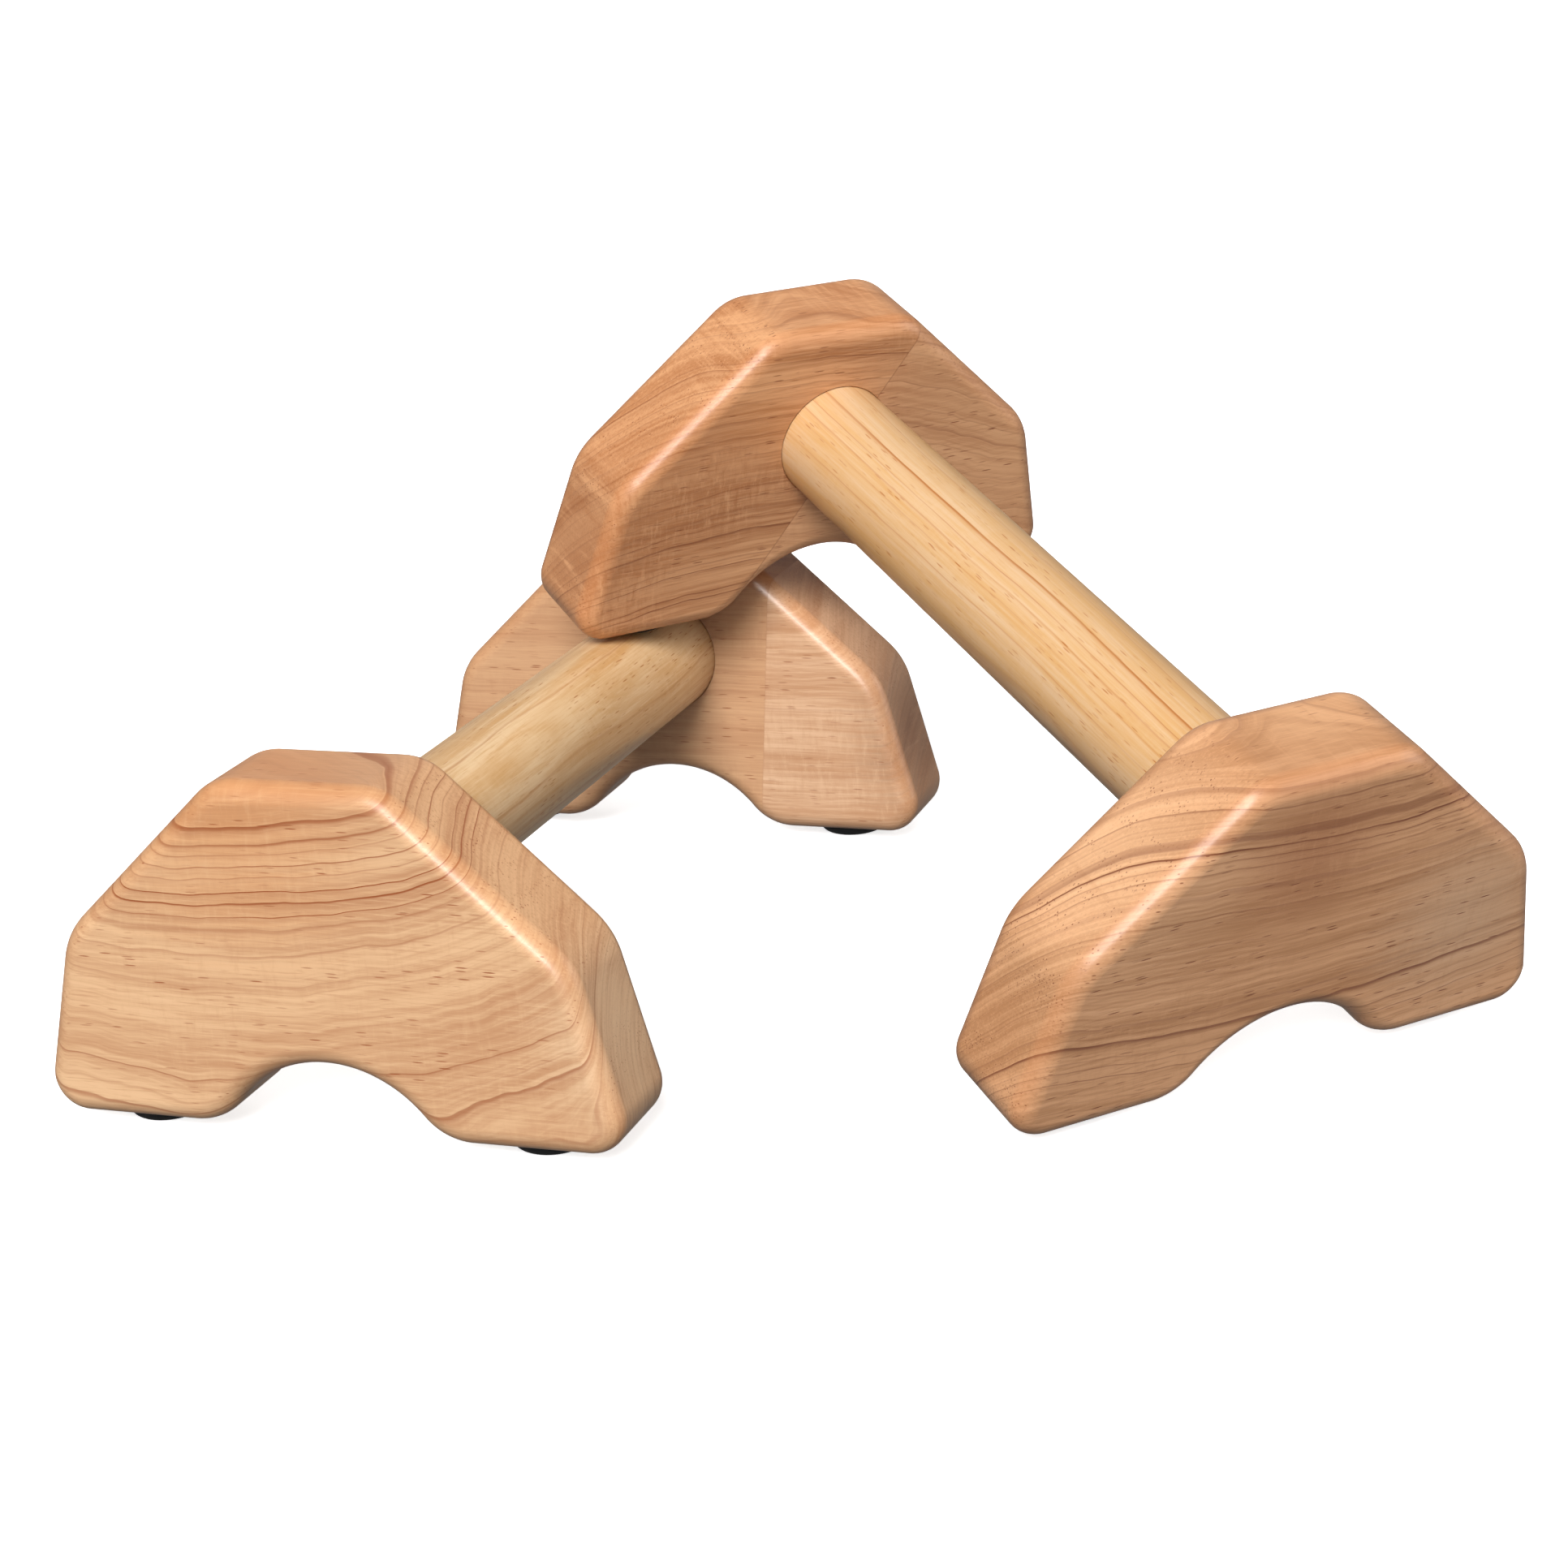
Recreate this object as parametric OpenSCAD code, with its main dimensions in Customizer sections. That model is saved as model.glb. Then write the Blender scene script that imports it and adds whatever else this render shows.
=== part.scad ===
// A pair of wooden push-up bars.  One bar stands on the floor.  The other bar
// leans: its near foot stands on the floor and one leg of its far foot rests
// on the grip of the standing bar.
//
// Each bar is built in its own frame.  X runs across the feet, Y runs along
// the grip towards the far foot, and Z = 0 is the plane under the four pads.

/* [Grip] */
// Diameter of the round grip
grip_d = 40; // [32:1:48]
// Clear length of the grip between the two feet
grip_len = 237; // [190:1:290]
// Depth of the grip's axis below the top of the feet
grip_drop = 41.5; // [35:0.5:50]
// Chamfer on each end of the grip
grip_chamfer = 1.5; // [0.5:0.5:3]

/* [Feet] */
// Thickness of each foot, along the grip
foot_t = 38; // [31:1:46]
// Height of each foot, without its pads
foot_h = 105; // [88:1:126]
// Width of a foot where its sides would meet the underside
foot_w = 187; // [156:1:224]
// Width of a foot at its shoulders
shoulder_w = 159; // [132:1:190]
// Height of the shoulders above the underside
shoulder_h = 56; // [46:1:67]
// Width of the flat crest of a foot
crest_w = 53; // [44:1:64]
// Corner radius where the sides meet the underside
base_r = 11; // [8:0.5:14]
// Corner radius at the shoulders
shoulder_r = 25; // [20:1:30]
// Corner radius at the crest
crest_r = 18; // [14:1:22]
// Radius of the routed round-over on every long edge
edge_r = 6.5; // [4:0.5:8]

/* [Arch] */
// Height of the arch under each foot, above the underside
arch_h = 21; // [17:0.5:25]
// Radius of the crown of the arch
arch_r = 37.5; // [31:0.5:45]
// Radius of the lips that lead from the arch into the underside
lip_r = 19; // [15:0.5:23]

/* [Pads] */
// Diameter of a rubber pad
pad_d = 24; // [20:0.5:29]
// Thickness of a rubber pad
pad_h = 4; // [3.5:0.5:5]
// Radius round the lower edge of a pad
pad_edge = 3; // [2:0.25:3]

/* [Joints] */
// Depth of the blind socket that holds each end of the grip
socket_depth = 25; // [20:1:30]
// Radial gap that the glue fills round the grip
glue_gap = 0.1; // [0.05:0.05:0.2]
// Gap left between the end of the grip and the floor of its socket
end_gap = 0.5; // [0.2:0.1:1]
// Thread diameter of the hidden locking screws
screw_d = 5; // [4:0.5:6]
// Depth that a locking screw bites into the grip
screw_bite = 26; // [20:1:31]
// Diameter of a locking screw's head
head_d = 9.5; // [8:0.5:11]
// Height of a locking screw's head
head_h = 3; // [2:0.5:4]
// Depth of the counterbore that hides a locking screw's head
recess_depth = 4.5; // [3.5:0.5:6]
// Gap round a locking screw in its holes
screw_gap = 0.05; // [0.02:0.01:0.1]

/* [Leaning bar] */
// Turn of the leaning bar about the vertical
lean_turn = 48; // [35:1:60]
// Sideways distance of the propped pad from the axis of the standing grip
prop_offset = 3; // [-4:0.5:6]
// Gap at rest between the leaning bar and what it rests on
rest_gap = 0.3; // [0.2:0.05:0.5]

/* [Hidden] */

// Ends and sides of a bar
near = -1;
far = 1;
left = -1;
right = 1;

// Fineness of the curves
arc_step = 7;
round_steps = 5;
round_fn = 72;

// Small fixed sizes
overcut = 1;
head_bevel = 0.8;
head_room = 0.5;
tip_length = 5;
slot_w = 1.4;
slot_l = 5;
slot_depth = 2;

// Places along and above a bar
grip_r = grip_d / 2;
grip_z = pad_h + foot_h - grip_drop;
foot_y = grip_len / 2 + foot_t / 2;
screw_y = grip_len / 2 + socket_depth / 2;
seat_z = pad_h + arch_h + recess_depth;
screw_l = grip_z - grip_r + screw_bite - seat_z;

// The round-over stays inside the smallest corner of the outline.
round_r = min(edge_r, base_r - 1);

// ---- Outline of a foot, in x and z above its underside ----

// The lips touch the arch's circle and the underside.
lip_x = sqrt(pow(arch_r + lip_r, 2) - pow(lip_r + arch_r - arch_h, 2));
lip_turn = atan2(lip_x, lip_r + arch_r - arch_h);

// Directions of the side and of the slope above the shoulder
side_turn = atan2(shoulder_h, (shoulder_w - foot_w) / 2);
slope_turn = atan2(foot_h - shoulder_h, (crest_w - shoulder_w) / 2);

// Centre of a corner of radius r at [x, z], where the outline turns from
// direction a to direction b.
function corner_centre(x, z, r, a, b) =
    let (reach = r / cos((b - a) / 2), out = (a + b) / 2 - 90)
    [x - reach * cos(out), z - reach * sin(out)];

base_centre = corner_centre(foot_w / 2, 0, base_r, 0, side_turn);
shoulder_centre = corner_centre(shoulder_w / 2, shoulder_h, shoulder_r, side_turn, slope_turn);
crest_centre = corner_centre(crest_w / 2, foot_h, crest_r, slope_turn, 180);

// The pads sit in the middle of the flat under each leg.
pad_x = (lip_x + base_centre.x) / 2;
pad_ring = pad_d / 2 - pad_edge;

// Points of an arc of the outline, pulled into the wood by inset.  A hollow
// arc has its centre outside the wood, so it grows as the others shrink.
function arc(centre, r, from, to, inset, hollow = false) =
    let (steps = ceil(abs(to - from) / arc_step), drawn = hollow ? r + inset : r - inset)
    [for (i = [0:steps])
        let (a = from + (to - from) * i / steps)
        centre + drawn * [cos(a), sin(a)]];

function arch_arcs(inset) = concat(
    arc([0, arch_h - arch_r], arch_r, 90, 90 - lip_turn, inset, true),
    arc([lip_x, lip_r], lip_r, 270 - lip_turn, 270, inset));

// The right half runs from the crown of the arch to the crest.
function half_outline(inset) = concat(
    arch_arcs(inset),
    arc(base_centre, base_r, -90, side_turn - 90, inset),
    arc(shoulder_centre, shoulder_r, side_turn - 90, slope_turn - 90, inset),
    arc(crest_centre, crest_r, slope_turn - 90, 90, inset));

function mirrored(points) =
    [for (i = [len(points) - 1:-1:1]) [-points[i].x, points[i].y]];

function outline(inset) = concat(mirrored(half_outline(inset)), half_outline(inset));

// Depth and inset of each layer of the round-over, from the face inwards
round_over = [for (i = [0:round_steps])
    let (a = 90 - 90 * i / round_steps)
    round_r * [1 - sin(a), 1 - cos(a)]];

layers = concat(round_over,
    [for (i = [round_steps:-1:0]) [foot_t - round_over[i].x, round_over[i].y]]);

// ---- Where the leaning bar comes to rest ----

// A direction of the leaning bar's own frame, seen in the standing bar's
function leaned(p, lean) =
    let (y = p.y * cos(lean) - p.z * sin(lean), z = p.y * sin(lean) + p.z * cos(lean))
    [p.x * cos(lean_turn) - y * sin(lean_turn), p.x * sin(lean_turn) + y * cos(lean_turn), z];

// Height of the bar's origin when its lowest edge, of pad or wood, is on the floor
function lift(lean) =
    let (pad_low = leaned([0, -foot_y - pad_ring, pad_edge], lean).z - pad_edge,
         wood_low = leaned([0, -foot_y - foot_t / 2 + round_r, pad_h + round_r], lean).z - round_r)
    -min(pad_low, wood_low);

// Origin of the leaning bar when its propped pad is setback from the standing
// far foot.
function origin_at(lean, setback) =
    let (pad = leaned([-pad_x, foot_y, 0], lean))
    [prop_offset - pad.x, grip_len / 2 - setback - pad.y, lift(lean)];

// Gap between the standing grip and the rounded rim of the propped pad
function grip_gap(lean) =
    let (origin = origin_at(lean, 0))
    min([for (a = [0:5:355])
        let (p = origin + leaned([-pad_x, foot_y, pad_edge] + pad_ring * [cos(a), sin(a), 0], lean))
        norm([p.x, p.z - grip_z]) - grip_r - pad_edge]);

// Gap from a point to the standing far foot, taking its corners as sharp
function far_foot_gap(p) =
    let (slope_out = slope_turn - 90, side_out = side_turn - 90,
         from_crest = [abs(p.x) - crest_w / 2, p.z - pad_h - foot_h],
         from_shoulder = [abs(p.x) - shoulder_w / 2, p.z - pad_h - shoulder_h],
         across = round_r + max(from_crest.y,
             from_crest * [cos(slope_out), sin(slope_out)],
             from_shoulder * [cos(side_out), sin(side_out)]),
         along = round_r + abs(p.y - foot_y) - foot_t / 2)
    norm([max(across, 0), max(along, 0)]) + min(max(across, along), 0) - round_r;

// Gap between the standing far foot and the arch that straddles its corner
function arch_gap(lean, setback) =
    let (origin = origin_at(lean, setback), reach = foot_t / 2 - round_r)
    min([for (c = arch_arcs(round_r), side = [left, right], y = [-reach:reach / 3:reach])
        far_foot_gap(origin + leaned([side * c.x, foot_y + y, pad_h + c.y], lean)) - round_r]);

// The smallest lean, and the smallest setback, that leave the resting gap
function find_lean(low, high, tries) =
    let (middle = (low + high) / 2)
    tries == 0 ? high
    : grip_gap(middle) < rest_gap ? find_lean(middle, high, tries - 1)
    : find_lean(low, middle, tries - 1);

function find_setback(lean, low, high, tries) =
    let (middle = (low + high) / 2)
    tries == 0 ? high
    : arch_gap(lean, middle) < rest_gap ? find_setback(lean, middle, high, tries - 1)
    : find_setback(lean, low, middle, tries - 1);

lean = find_lean(0, 45, 20);
setback = find_setback(lean, 0, grip_len / 2, 20);
leaning_origin = origin_at(lean, setback);

// ---- Centre of the pair ----

// How far a bar's feet reach from its own origin, along a direction d
function reach_along(d) =
    let (corners = [[base_centre, base_r], [shoulder_centre, shoulder_r], [crest_centre, crest_r]])
    (foot_y + foot_t / 2 - round_r) * abs(d.y) + round_r + pad_h * d.z
    + max([for (c = corners)
        c[0] * [abs(d.x), d.z] + (c[1] - round_r) * norm([d.x, d.z])]);

// The same for the leaning bar, from the standing bar's origin
function leaning_reach(d) =
    let (own = [d * leaned([1, 0, 0], lean), d * leaned([0, 1, 0], lean), d * leaned([0, 0, 1], lean)])
    d * leaning_origin + reach_along(own);

function pair_reach(d) = max(reach_along(d), leaning_reach(d));

pair_centre = [
    (pair_reach([1, 0, 0]) - pair_reach([-1, 0, 0])) / 2,
    (pair_reach([0, 1, 0]) - pair_reach([0, -1, 0])) / 2,
    0];

module standing() {
    translate(-pair_centre) children();
}

module leaning() {
    translate(leaning_origin - pair_centre) rotate([lean, 0, lean_turn]) children();
}

// ---- Parts of a bar ----

// The routed blank of a foot, from its grip side at y = 0 to y = foot_t
module foot_blank() {
    n = len(outline(0));
    points = [for (layer = layers, p = outline(layer.y)) [p.x, layer.x, p.y]];
    walls = [for (k = [0:len(layers) - 2], i = [0:n - 1])
        let (j = (i + 1) % n)
        [k * n + i, k * n + j, (k + 1) * n + j, (k + 1) * n + i]];
    grip_side = [for (i = [n - 1:-1:0]) i];
    outer_side = [for (i = [0:n - 1]) (len(layers) - 1) * n + i];
    polyhedron(points, concat(walls, [grip_side], [outer_side]));
}

// An upright hole on the axis of a locking screw
module screw_hole(r, from, to) {
    translate([0, screw_y, from]) cylinder(h = to - from, r = r, $fn = round_fn);
}

module foot(end, tone) {
    color(tone) rotate([0, 0, end == far ? 0 : 180]) difference() {
        translate([0, grip_len / 2, pad_h]) foot_blank();
        translate([0, grip_len / 2 - overcut, grip_z]) rotate([-90, 0, 0])
            cylinder(h = socket_depth + overcut, r = grip_r + glue_gap, $fn = round_fn);
        screw_hole(screw_d / 2 + screw_gap, seat_z - overcut, grip_z);
        screw_hole(head_d / 2 + head_room, pad_h + arch_h - 2 * overcut, seat_z);
    }
}

module grip(tone) {
    half = grip_len / 2 + socket_depth - end_gap;
    profile = [[0, -half], [grip_r - grip_chamfer, -half], [grip_r, grip_chamfer - half],
        [grip_r, half - grip_chamfer], [grip_r - grip_chamfer, half], [0, half]];
    color(tone) difference() {
        translate([0, 0, grip_z]) rotate([90, 0, 0])
            rotate_extrude($fn = round_fn) polygon(profile);
        for (end = [near, far])
            rotate([0, 0, end == far ? 0 : 180])
                screw_hole(screw_d / 2 + screw_gap, grip_z - grip_r - overcut,
                    grip_z - grip_r + screw_bite + overcut);
    }
}

module pad(end, side) {
    profile = concat([[0, 0]], arc([pad_ring, pad_edge], pad_edge, -90, 0, 0),
        [[pad_d / 2, pad_h], [0, pad_h]]);
    color("#26262a") translate([side * pad_x, end * foot_y, 0])
        rotate_extrude($fn = round_fn) polygon(profile);
}

// A wood screw driven up from the crown of the arch into the grip
module locking_screw(end) {
    head_r = head_d / 2;
    profile = [[0, -head_h], [head_r - head_bevel, -head_h], [head_r, head_bevel - head_h],
        [head_r, 0], [screw_d / 2, 0], [screw_d / 2, screw_l - tip_length], [0, screw_l]];
    color("#b9bcc2") translate([0, end * screw_y, seat_z]) difference() {
        rotate_extrude($fn = round_fn) polygon(profile);
        for (a = [0, 90])
            translate([0, 0, -head_h]) rotate([0, 0, a])
                cube([slot_l, slot_w, 2 * slot_depth], center = true);
    }
}

// Tones of the wood in each bar
honey = "#d9b089";
straw = "#e6c49a";
pale = "#d8a984";
russet = "#b98a67";

standing() foot(near, honey);  // standing_near_foot
standing() foot(far, pale);  // standing_far_foot
standing() grip(straw);  // standing_grip
standing() pad(near, left);  // standing_near_left_pad
standing() pad(near, right);  // standing_near_right_pad
standing() pad(far, left);  // standing_far_left_pad
standing() pad(far, right);  // standing_far_right_pad
standing() locking_screw(near);  // standing_near_locking_screw
standing() locking_screw(far);  // standing_far_locking_screw
leaning() foot(near, russet);  // leaning_near_foot
leaning() foot(far, russet);  // leaning_far_foot
leaning() grip(straw);  // leaning_grip
leaning() pad(near, left);  // leaning_near_left_pad
leaning() pad(near, right);  // leaning_near_right_pad
leaning() pad(far, left);  // leaning_far_left_pad
leaning() pad(far, right);  // leaning_far_right_pad
leaning() locking_screw(near);  // leaning_near_locking_screw
leaning() locking_screw(far);  // leaning_far_locking_screw
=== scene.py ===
"""A pair of wooden push-up bars: one stands on the floor, the other leans on it.

The feet, grips and pads of the CAD frame are replaced by finer meshes of the
same sizes.  Each is built in the frame of its own bar, as in the CAD model: X
runs across the feet, Y along the grip towards the far foot, and Z = 0 is the
plane under the four pads.  All lengths are in millimetres until a mesh is made.
"""
import math

import bpy
from mathutils import Matrix, Vector, noise
from mathutils.geometry import tessellate_polygon


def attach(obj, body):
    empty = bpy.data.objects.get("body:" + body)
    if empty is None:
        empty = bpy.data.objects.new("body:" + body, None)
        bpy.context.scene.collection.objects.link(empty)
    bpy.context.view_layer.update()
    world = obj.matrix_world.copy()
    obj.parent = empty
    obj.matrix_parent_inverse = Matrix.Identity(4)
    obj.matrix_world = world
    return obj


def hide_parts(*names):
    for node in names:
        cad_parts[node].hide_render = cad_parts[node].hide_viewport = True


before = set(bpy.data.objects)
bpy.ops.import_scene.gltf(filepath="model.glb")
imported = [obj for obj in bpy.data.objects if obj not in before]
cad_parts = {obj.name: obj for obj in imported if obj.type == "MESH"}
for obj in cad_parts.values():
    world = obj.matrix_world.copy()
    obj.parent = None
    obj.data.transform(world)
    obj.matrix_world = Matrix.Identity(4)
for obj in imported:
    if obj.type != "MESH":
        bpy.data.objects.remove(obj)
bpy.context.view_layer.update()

MM = 0.001

# ---- Sizes of a bar, as in the CAD model ----
GRIP_R = 20.0
GRIP_LEN = 237.0
GRIP_Z = 67.5
GRIP_CHAMFER = 1.5
FOOT_T = 38.0
FOOT_H = 105.0
FOOT_W = 187.0
SHOULDER_W = 159.0
SHOULDER_H = 56.0
CREST_W = 53.0
BASE_R = 11.0
SHOULDER_R = 25.0
CREST_R = 18.0
EDGE_R = 6.5
ARCH_H = 21.0
ARCH_R = 37.5
LIP_R = 19.0
PAD_R = 12.0
PAD_H = 4.0
PAD_EDGE = 3.0
SOCKET_DEPTH = 25.0
GLUE_GAP = 0.1
END_GAP = 0.5
RECESS_R = 5.25
RECESS_DEPTH = 4.5

FOOT_Y = (GRIP_LEN + FOOT_T) / 2
SCREW_Y = (GRIP_LEN + SOCKET_DEPTH) / 2
ARCH_TOP = PAD_H + ARCH_H

# ---- How finely the meshes are cut ----
ARC_STEP = math.radians(3)
EDGE_STEPS = 10
DOME_STEPS = 10
GRIP_RINGS = 24
RECESS_POINTS = 48
SOCKET_POINTS = 96
# The points of a foot's outline, either side of the top of the arch, that the recess takes up.
CROWN = range(-4, 5)

# ---- Where each bar is, in the row frame ----
STANDING_ORIGIN = (-112.68, -25.416, 0.0)
LEANING_ORIGIN = (28.57, 20.8326, 46.3184)
LEAN_TURN = math.radians(48)
LEAN = math.radians(18.3682)


def placed(origin, turn=0.0, lean=0.0):
    """The matrix that puts a bar in the row frame, in metres."""
    return (Matrix.Translation(Vector(origin) * MM)
            @ Matrix.Rotation(turn, 4, "Z") @ Matrix.Rotation(lean, 4, "X"))


BARS = {
    "standing": placed(STANDING_ORIGIN),
    "leaning": placed(LEANING_ORIGIN, LEAN_TURN, LEAN),
}
ENDS = {"near": -1, "far": 1}
SIDES = {"left": -1, "right": 1}


# ---------------------------------------------------------------- meshes

def mark_place(mesh, matrix):
    """Stores where each point is in the frame that matrix places, in millimetres."""
    back = matrix.inverted()
    made = mesh.attributes.new("bar_place", "FLOAT_VECTOR", "POINT")
    made.data.foreach_set("vector", [c / MM for v in mesh.vertices for c in back @ v.co])


class Skin:
    """Faces with a normal for each corner, so that rounded and flat faces meet smoothly."""

    def __init__(self):
        self.points = []
        self.faces = []
        self.normals = []

    def ring(self, points):
        """Adds points and returns their indices."""
        start = len(self.points)
        self.points += [Vector(p) for p in points]
        return list(range(start, start + len(points)))

    def face(self, corners, normals):
        """Adds a face, wound so that it faces the way its normals point."""
        a, b, c = (self.points[i] for i in corners[:3])
        across = (b - a).cross(c - b)
        if across.dot(sum(normals, Vector())) < 0:
            corners, normals = corners[::-1], normals[::-1]
        self.faces.append(tuple(corners))
        self.normals += normals

    def band(self, lower, upper, lower_normals, upper_normals, left_out=()):
        """Closes the strip between two rings with as many points, apart from the faces left out."""
        count = len(lower)
        for i in range(count):
            if i in left_out:
                continue
            j = (i + 1) % count
            self.face([lower[i], lower[j], upper[j], upper[i]],
                      [lower_normals[i], lower_normals[j], upper_normals[j], upper_normals[i]])

    def patch(self, loops, normal_at):
        """Fills the nearly flat area inside the first loop and outside the others."""
        flat = [i for loop in loops for i in loop]
        outlines = [[self.points[i] for i in loop] for loop in loops]
        for triangle in tessellate_polygon(outlines):
            corners = [flat[i] for i in triangle]
            self.face(corners, [normal_at(self.points[i]) for i in corners])

    def cap(self, loops, normal):
        """The same for a flat area."""
        self.patch(loops, lambda point: Vector(normal))

    def corner_normals(self):
        """The normals of each face's corners, face by face."""
        normals = iter(self.normals)
        return [[next(normals) for _ in face] for face in self.faces]

    def object(self, name, matrix, material, body, slot, replaced=()):
        """Makes the object, which rides with body in place of the CAD nodes replaced."""
        mesh = bpy.data.meshes.new(name)
        mesh.from_pydata([matrix @ (p * MM) for p in self.points], [], self.faces)
        mesh.shade_smooth()
        mesh.normals_split_custom_set([matrix.to_3x3() @ n for n in self.normals])
        mark_place(mesh, matrix)
        facing = [0.0] * len(self.points)
        for face, corners in zip(mesh.polygons, self.corner_normals()):
            for index, normal in zip(face.vertices, corners):
                facing[index] = abs(normal.y)
        # On a foot, rim is 0 on the two faces and 1 round them, and edge is highest in between;
        # lacquered() paints light on the rim and shade on the routed edges with them.
        for label, values in (("rim", [1 - f for f in facing]),
                              ("edge", [4 * f * (1 - f) for f in facing])):
            made = mesh.attributes.new(label, "FLOAT", "POINT")
            made.data.foreach_set("value", values)
        mesh.materials.append(material)
        piece = bpy.data.objects.new(name, mesh)
        bpy.context.scene.collection.objects.link(piece)
        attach(piece, body)
        if replaced:
            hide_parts(*replaced)
        return piece


def corner(x, z, radius, before, after):
    """Centre of a rounded corner where the outline turns from one direction to another."""
    reach = radius / math.cos((after - before) / 2)
    out = (before + after) / 2 - math.pi / 2
    return x - reach * math.cos(out), z - reach * math.sin(out)


def arc(centre, radius, start, end, hollow=False):
    """Points of an arc with the way out of the wood at each, as (x, z, nx, nz)."""
    count = max(2, math.ceil(abs(end - start) / ARC_STEP))
    sign = -1 if hollow else 1
    angles = [start + (end - start) * i / count for i in range(count + 1)]
    return [(centre[0] + radius * math.cos(a), centre[1] + radius * math.sin(a),
             sign * math.cos(a), sign * math.sin(a)) for a in angles]


def foot_outline():
    """A foot's outline above its underside, anticlockwise from the top of the arch, and a pad's x.

    Each point is (x, z, nx, nz) with the normal out of the wood.
    """
    quarter = math.pi / 2
    lip_x = math.sqrt((ARCH_R + LIP_R) ** 2 - (LIP_R + ARCH_R - ARCH_H) ** 2)
    lip_turn = math.atan2(lip_x, LIP_R + ARCH_R - ARCH_H)
    side = math.atan2(SHOULDER_H, (SHOULDER_W - FOOT_W) / 2)
    slope = math.atan2(FOOT_H - SHOULDER_H, (CREST_W - SHOULDER_W) / 2)
    base = corner(FOOT_W / 2, 0, BASE_R, 0, side)
    shoulder = corner(SHOULDER_W / 2, SHOULDER_H, SHOULDER_R, side, slope)
    crest = corner(CREST_W / 2, FOOT_H, CREST_R, slope, math.pi)
    half = (arc((0, ARCH_H - ARCH_R), ARCH_R, quarter, quarter - lip_turn, hollow=True)[:-1]
            + arc((lip_x, LIP_R), LIP_R, 3 * quarter - lip_turn, 3 * quarter)
            + arc(base, BASE_R, -quarter, side - quarter)
            + arc(shoulder, SHOULDER_R, side - quarter, slope - quarter)
            + arc(crest, CREST_R, slope - quarter, quarter))
    mirrored = [(-x, z, -nx, nz) for x, z, nx, nz in reversed(half[1:])]
    return half + mirrored, (lip_x + base[0]) / 2


OUTLINE, PAD_X = foot_outline()


def foot_skin(end):
    """A foot with routed edges, an open socket for the grip and a recess for the hidden screw."""
    skin = Skin()
    inner_y = end * GRIP_LEN / 2
    # Each layer is (depth into the foot, inset, outward part and axial part of the normal).
    layers = []
    for i in range(EDGE_STEPS + 1):
        a = math.pi / 2 * (1 - i / EDGE_STEPS)
        layers.append((EDGE_R * (1 - math.sin(a)), EDGE_R * (1 - math.cos(a)),
                       math.cos(a), -math.sin(a)))
    layers += [(FOOT_T - depth, inset, out, -turn) for depth, inset, out, turn in reversed(layers)]
    rings, normals = [], []
    for depth, inset, out, turn in layers:
        y = inner_y + end * depth
        rings.append(skin.ring([(x - nx * inset, y, PAD_H + z - nz * inset)
                                for x, z, nx, nz in OUTLINE]))
        normals.append([Vector((nx * out, end * turn, nz * out)) for _, _, nx, nz in OUTLINE])
    # The strip between the two rounded edges stays open in the crown, for the recess.
    lower, upper = EDGE_STEPS, EDGE_STEPS + 1
    for k in range(len(rings) - 1):
        open_here = [i % len(OUTLINE) for i in CROWN[:-1]] if k == lower else []
        skin.band(rings[k], rings[k + 1], normals[k], normals[k + 1], open_here)
    around = [rings[lower][i] for i in CROWN] + [rings[upper][i] for i in reversed(CROWN)]
    arch_z = ARCH_TOP - ARCH_R
    skin.patch([around, recess(skin, end)],
               lambda point: Vector((-point.x, 0, arch_z - point.z)) / ARCH_R)
    skin.cap([rings[-1]], (0, end, 0))
    mouth = socket(skin, inner_y, end)
    skin.cap([rings[0], mouth], (0, -end, 0))
    return skin


def recess(skin, end):
    """The counterbore in the crown of the arch.  Returns the ring in the arch's surface."""
    angles = [2 * math.pi * i / RECESS_POINTS for i in range(RECESS_POINTS)]
    circle = [(RECESS_R * math.cos(a), end * SCREW_Y + RECESS_R * math.sin(a)) for a in angles]
    mouth = skin.ring([(x, y, ARCH_TOP - ARCH_R + math.sqrt(ARCH_R ** 2 - x * x)) for x, y in circle])
    seat = skin.ring([(x, y, ARCH_TOP + RECESS_DEPTH) for x, y in circle])
    inward = [Vector((-math.cos(a), -math.sin(a), 0)) for a in angles]
    skin.band(mouth, seat, inward, inward)
    skin.cap([seat], (0, 0, -1))
    return mouth


def socket(skin, inner_y, end):
    """The blind socket, with a slightly eased mouth.  Returns the ring in the foot's face."""
    ease = 0.35
    radius = GRIP_R + GLUE_GAP
    angles = [2 * math.pi * i / SOCKET_POINTS for i in range(SOCKET_POINTS)]
    places = [(radius + ease, 0.0), (radius, ease), (radius, SOCKET_DEPTH)]
    rings = [skin.ring([(r * math.cos(a), inner_y + end * depth, GRIP_Z + r * math.sin(a))
                        for a in angles])
             for r, depth in places]
    inward = [Vector((-math.cos(a), 0, -math.sin(a))) for a in angles]
    eased = [(n + Vector((0, -end, 0))).normalized() for n in inward]
    skin.band(rings[0], rings[1], eased, eased)
    skin.band(rings[1], rings[2], inward, inward)
    skin.cap([rings[2]], (0, -end, 0))
    return rings[0]


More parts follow.
